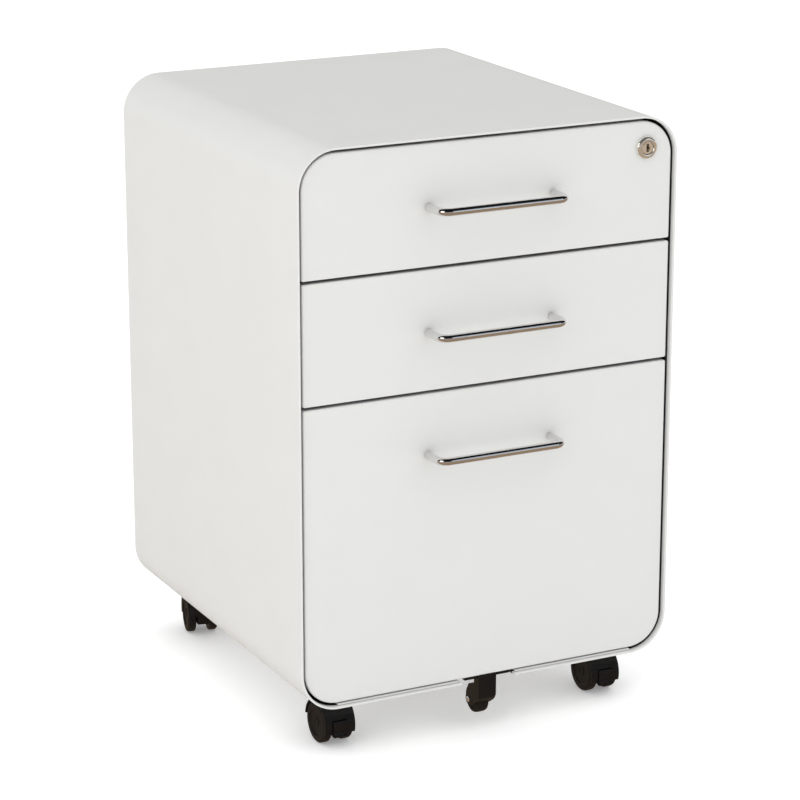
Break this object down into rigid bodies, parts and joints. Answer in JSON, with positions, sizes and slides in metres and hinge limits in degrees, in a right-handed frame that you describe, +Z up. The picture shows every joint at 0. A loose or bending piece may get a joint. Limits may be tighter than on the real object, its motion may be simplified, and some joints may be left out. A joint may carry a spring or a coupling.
{
  "type": "mobile pedestal filing cabinet",
  "caption": "White sheet-steel mobile filing pedestal with rounded case, box and file drawers on ball slides, chrome rod handles, gang lock, twin-wheel casters and an anti-tip wheel.",
  "frame": {"origin": "on the floor, under the centre of the overall box (case plus handles)", "axes": "+Z up; the drawer fronts face -Y and the drawers open along -Y; +X is to the right of someone facing the fronts"},
  "size_m": [0.39, 0.4382, 0.58],
  "materials": {
    "white_powder_coat": "satin white powder coat with a fine texture",
    "inner_white_paint": "satin white paint, slightly greyer than the outside",
    "chrome_rod": "polished chrome plate",
    "chrome_rivet": "bright plated rivet",
    "nickel_lock": "warm nickel plate",
    "zinc_plated_steel": "zinc-plated steel",
    "black_nylon": "moulded black nylon",
    "nylon_guide": "natural nylon"
  },
  "bodies": {
    "case": {"case_shell": "white_powder_coat", "back_panel": "white_powder_coat", "base_plate": "inner_white_paint", "left_side_liner": "inner_white_paint", "right_side_liner": "inner_white_paint", "lock_bar_guide": "nylon_guide", "left_top_slide_case_member": "zinc_plated_steel", "left_middle_slide_case_member": "zinc_plated_steel", "left_file_slide_case_member": "zinc_plated_steel", "right_top_slide_case_member": "zinc_plated_steel", "right_middle_slide_case_member": "zinc_plated_steel", "right_file_slide_case_member": "zinc_plated_steel", "front_left_caster_plate": "zinc_plated_steel", "front_right_caster_plate": "zinc_plated_steel", "rear_left_caster_plate": "zinc_plated_steel", "rear_right_caster_plate": "zinc_plated_steel"},
    "top_drawer": {"top_drawer_front": "white_powder_coat", "top_drawer_tray": "inner_white_paint", "top_drawer_handle": "chrome_rod", "left_top_slide_drawer_member": "zinc_plated_steel", "right_top_slide_drawer_member": "zinc_plated_steel", "lock_housing": "nickel_lock"},
    "middle_drawer": {"middle_drawer_front": "white_powder_coat", "middle_drawer_tray": "inner_white_paint", "middle_drawer_handle": "chrome_rod", "left_middle_slide_drawer_member": "zinc_plated_steel", "right_middle_slide_drawer_member": "zinc_plated_steel"},
    "file_drawer": {"file_drawer_front": "white_powder_coat", "file_drawer_tray": "inner_white_paint", "file_drawer_handle": "chrome_rod", "left_file_slide_drawer_member": "zinc_plated_steel", "right_file_slide_drawer_member": "zinc_plated_steel", "left_file_rail": "zinc_plated_steel", "right_file_rail": "zinc_plated_steel", "anti_tip_fork": "black_nylon", "anti_tip_axle": "chrome_rivet"},
    "file_slide_middle": {"left_file_slide_middle_member": "zinc_plated_steel", "right_file_slide_middle_member": "zinc_plated_steel"},
    "lock_plug": {"lock_plug": "nickel_lock", "lock_cam": "zinc_plated_steel"},
    "lock_bar": {"lock_bar": "zinc_plated_steel"},
    "anti_tip_wheel": {"anti_tip_wheel": "black_nylon"},
    "front_left_swivel": {"front_left_caster_hood": "black_nylon", "front_left_caster_axle": "zinc_plated_steel"},
    "front_left_left_wheel": {"front_left_caster_left_wheel": "black_nylon"},
    "front_left_right_wheel": {"front_left_caster_right_wheel": "black_nylon"},
    "front_left_brake": {"front_left_caster_brake": "black_nylon"},
    "front_right_swivel": {"front_right_caster_hood": "black_nylon", "front_right_caster_axle": "zinc_plated_steel"},
    "front_right_left_wheel": {"front_right_caster_left_wheel": "black_nylon"},
    "front_right_right_wheel": {"front_right_caster_right_wheel": "black_nylon"},
    "front_right_brake": {"front_right_caster_brake": "black_nylon"},
    "rear_left_swivel": {"rear_left_caster_hood": "black_nylon", "rear_left_caster_axle": "zinc_plated_steel"},
    "rear_left_left_wheel": {"rear_left_caster_left_wheel": "black_nylon"},
    "rear_left_right_wheel": {"rear_left_caster_right_wheel": "black_nylon"},
    "rear_right_swivel": {"rear_right_caster_hood": "black_nylon", "rear_right_caster_axle": "zinc_plated_steel"},
    "rear_right_left_wheel": {"rear_right_caster_left_wheel": "black_nylon"},
    "rear_right_right_wheel": {"rear_right_caster_right_wheel": "black_nylon"}
  },
  "joints": [
    {"name": "top_drawer_slide", "type": "slide", "parent": "case", "child": "top_drawer", "axis": [0, -1, 0], "range_m": [0, 0.26]},
    {"name": "middle_drawer_slide", "type": "slide", "parent": "case", "child": "middle_drawer", "axis": [0, -1, 0], "range_m": [0, 0.26]},
    {"name": "file_drawer_slide", "type": "slide", "parent": "case", "child": "file_drawer", "axis": [0, -1, 0], "range_m": [0, 0.35]},
    {"name": "file_middle_slide", "type": "slide", "parent": "case", "child": "file_slide_middle", "axis": [0, -1, 0], "range_m": [0, 0.1751]},
    {"name": "lock_turn", "type": "hinge", "parent": "top_drawer", "child": "lock_plug", "pos_m": [0.1625, -0.1879, 0.5498], "axis": [0, 1, 0], "range_deg": [0, 90]},
    {"name": "lock_bar_drop", "type": "slide", "parent": "case", "child": "lock_bar", "axis": [0, 0, -1], "range_m": [0, 0.012]},
    {"name": "anti_tip_spin", "type": "hinge", "parent": "file_drawer", "child": "anti_tip_wheel", "pos_m": [0, -0.1682, 0.0252], "axis": [1, 0, 0], "continuous": true},
    {"name": "front_left_caster_swivel", "type": "hinge", "parent": "case", "child": "front_left_swivel", "pos_m": [-0.144, -0.1279, 0.048], "axis": [0, 0, 1], "continuous": true},
    {"name": "front_left_left_wheel_spin", "type": "hinge", "parent": "front_left_swivel", "child": "front_left_left_wheel", "pos_m": [-0.144, -0.1429, 0.02], "axis": [1, 0, 0], "continuous": true},
    {"name": "front_left_right_wheel_spin", "type": "hinge", "parent": "front_left_swivel", "child": "front_left_right_wheel", "pos_m": [-0.144, -0.1429, 0.02], "axis": [1, 0, 0], "continuous": true},
    {"name": "front_left_brake_press", "type": "hinge", "parent": "front_left_swivel", "child": "front_left_brake", "pos_m": [-0.144, -0.1429, 0.02], "axis": [1, 0, 0], "range_deg": [0, 14]},
    {"name": "front_right_caster_swivel", "type": "hinge", "parent": "case", "child": "front_right_swivel", "pos_m": [0.144, -0.1279, 0.048], "axis": [0, 0, 1], "continuous": true},
    {"name": "front_right_left_wheel_spin", "type": "hinge", "parent": "front_right_swivel", "child": "front_right_left_wheel", "pos_m": [0.144, -0.1429, 0.02], "axis": [1, 0, 0], "continuous": true},
    {"name": "front_right_right_wheel_spin", "type": "hinge", "parent": "front_right_swivel", "child": "front_right_right_wheel", "pos_m": [0.144, -0.1429, 0.02], "axis": [1, 0, 0], "continuous": true},
    {"name": "front_right_brake_press", "type": "hinge", "parent": "front_right_swivel", "child": "front_right_brake", "pos_m": [0.144, -0.1429, 0.02], "axis": [1, 0, 0], "range_deg": [0, 14]},
    {"name": "rear_left_caster_swivel", "type": "hinge", "parent": "case", "child": "rear_left_swivel", "pos_m": [-0.144, 0.1641, 0.048], "axis": [0, 0, 1], "continuous": true},
    {"name": "rear_left_left_wheel_spin", "type": "hinge", "parent": "rear_left_swivel", "child": "rear_left_left_wheel", "pos_m": [-0.14063, 0.17872, 0.02], "axis": [-0.9744, 0.225, 0], "continuous": true},
    {"name": "rear_left_right_wheel_spin", "type": "hinge", "parent": "rear_left_swivel", "child": "rear_left_right_wheel", "pos_m": [-0.14063, 0.17872, 0.02], "axis": [-0.9744, 0.225, 0], "continuous": true},
    {"name": "rear_right_caster_swivel", "type": "hinge", "parent": "case", "child": "rear_right_swivel", "pos_m": [0.144, 0.1641, 0.048], "axis": [0, 0, 1], "continuous": true},
    {"name": "rear_right_left_wheel_spin", "type": "hinge", "parent": "rear_right_swivel", "child": "rear_right_left_wheel", "pos_m": [0.144, 0.1791, 0.02], "axis": [-1, 0, 0], "continuous": true},
    {"name": "rear_right_right_wheel_spin", "type": "hinge", "parent": "rear_right_swivel", "child": "rear_right_right_wheel", "pos_m": [0.144, 0.1791, 0.02], "axis": [-1, 0, 0], "continuous": true}
  ],
  "couplings": [
    {"joint": "file_middle_slide", "follows": "file_drawer_slide", "ratio": 0.5},
    {"joint": "lock_turn", "follows": "lock_bar_drop", "rad_per_m": 130.8}
  ]
}
